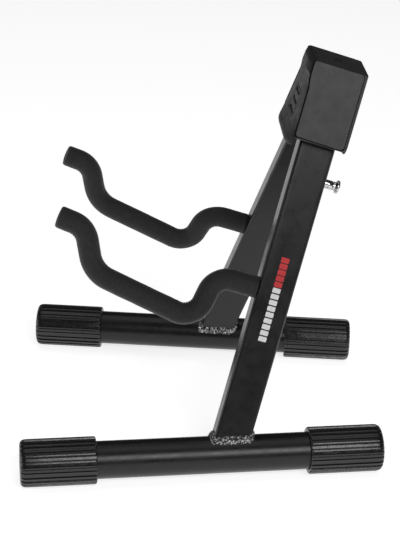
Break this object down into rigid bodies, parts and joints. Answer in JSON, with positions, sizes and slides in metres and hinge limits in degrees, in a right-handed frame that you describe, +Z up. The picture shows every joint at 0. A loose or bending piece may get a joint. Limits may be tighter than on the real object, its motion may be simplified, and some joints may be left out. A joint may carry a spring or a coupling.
{
  "type": "folding guitar stand",
  "caption": "Folding A-frame guitar stand: splayed legs on round feet with ribbed caps, foam cradle arms, padded hinge head, spring lock pin.",
  "frame": {"origin": "on the floor, middle of the stand's outline, legs open", "axes": "+Z up; the guitar faces -Y; the legs lean back towards +Y; right leg on +X"},
  "size_m": [0.3312, 0.3396, 0.3724],
  "materials": {
    "black_steel": "satin black powder coat",
    "weld": "rough painted weld bead",
    "cap_rubber": "ribbed black rubber",
    "pad_rubber": "soft black rubber",
    "foam": "closed-cell black foam",
    "shell_plastic": "fine-grained black plastic",
    "chrome": "polished",
    "zinc": "zinc plated"
  },
  "bodies": {
    "head": {"head_bracket": "black_steel", "head_shell": "shell_plastic", "head_pad": "pad_rubber", "head_back": "shell_plastic", "back_screw_1": "zinc", "back_screw_2": "zinc", "back_screw_3": "zinc", "back_screw_4": "zinc", "right_hinge_bolt": "zinc", "left_hinge_bolt": "zinc", "right_hinge_nut": "zinc", "left_hinge_nut": "zinc", "right_front_washer": "zinc", "left_front_washer": "zinc", "right_rear_bush": "shell_plastic", "left_rear_bush": "shell_plastic", "lock_barrel": "chrome", "lock_spring": "zinc"},
    "lock": {"lock_pin": "chrome", "pull_knob": "chrome"},
    "right_leg": {"right_leg_tube": "black_steel", "right_foot_tube": "black_steel", "right_foot_weld": "weld", "right_front_cap": "cap_rubber", "right_rear_cap": "cap_rubber", "right_arm_rod": "black_steel", "right_arm_foam": "foam", "right_lock_lug": "zinc"},
    "left_leg": {"left_leg_tube": "black_steel", "left_foot_tube": "black_steel", "left_foot_weld": "weld", "left_front_cap": "cap_rubber", "left_rear_cap": "cap_rubber", "left_arm_rod": "black_steel", "left_arm_foam": "foam", "left_lock_lug": "zinc", "left_lug_spacer": "zinc"}
  },
  "joints": [
    {"name": "right_leg_fold", "type": "hinge", "parent": "head", "child": "right_leg", "pos_m": [0.015, 0.10987, 0.32613], "axis": [0, 0.9605, -0.2782], "range_deg": [0, 17]},
    {"name": "left_leg_fold", "type": "hinge", "parent": "head", "child": "left_leg", "pos_m": [-0.015, 0.10987, 0.32613], "axis": [0, 0.9605, -0.2782], "range_deg": [-17, 0]},
    {"name": "lock_pull", "type": "slide", "parent": "head", "child": "lock", "axis": [0, 0.9605, -0.2782], "range_m": [0, 0.0045], "stiffness_N_per_m": 400, "springref_m": -0.003, "deforming": ["lock_spring"]}
  ],
  "couplings": [
    {"joint": "left_leg_fold", "follows": "right_leg_fold", "ratio": -1}
  ]
}
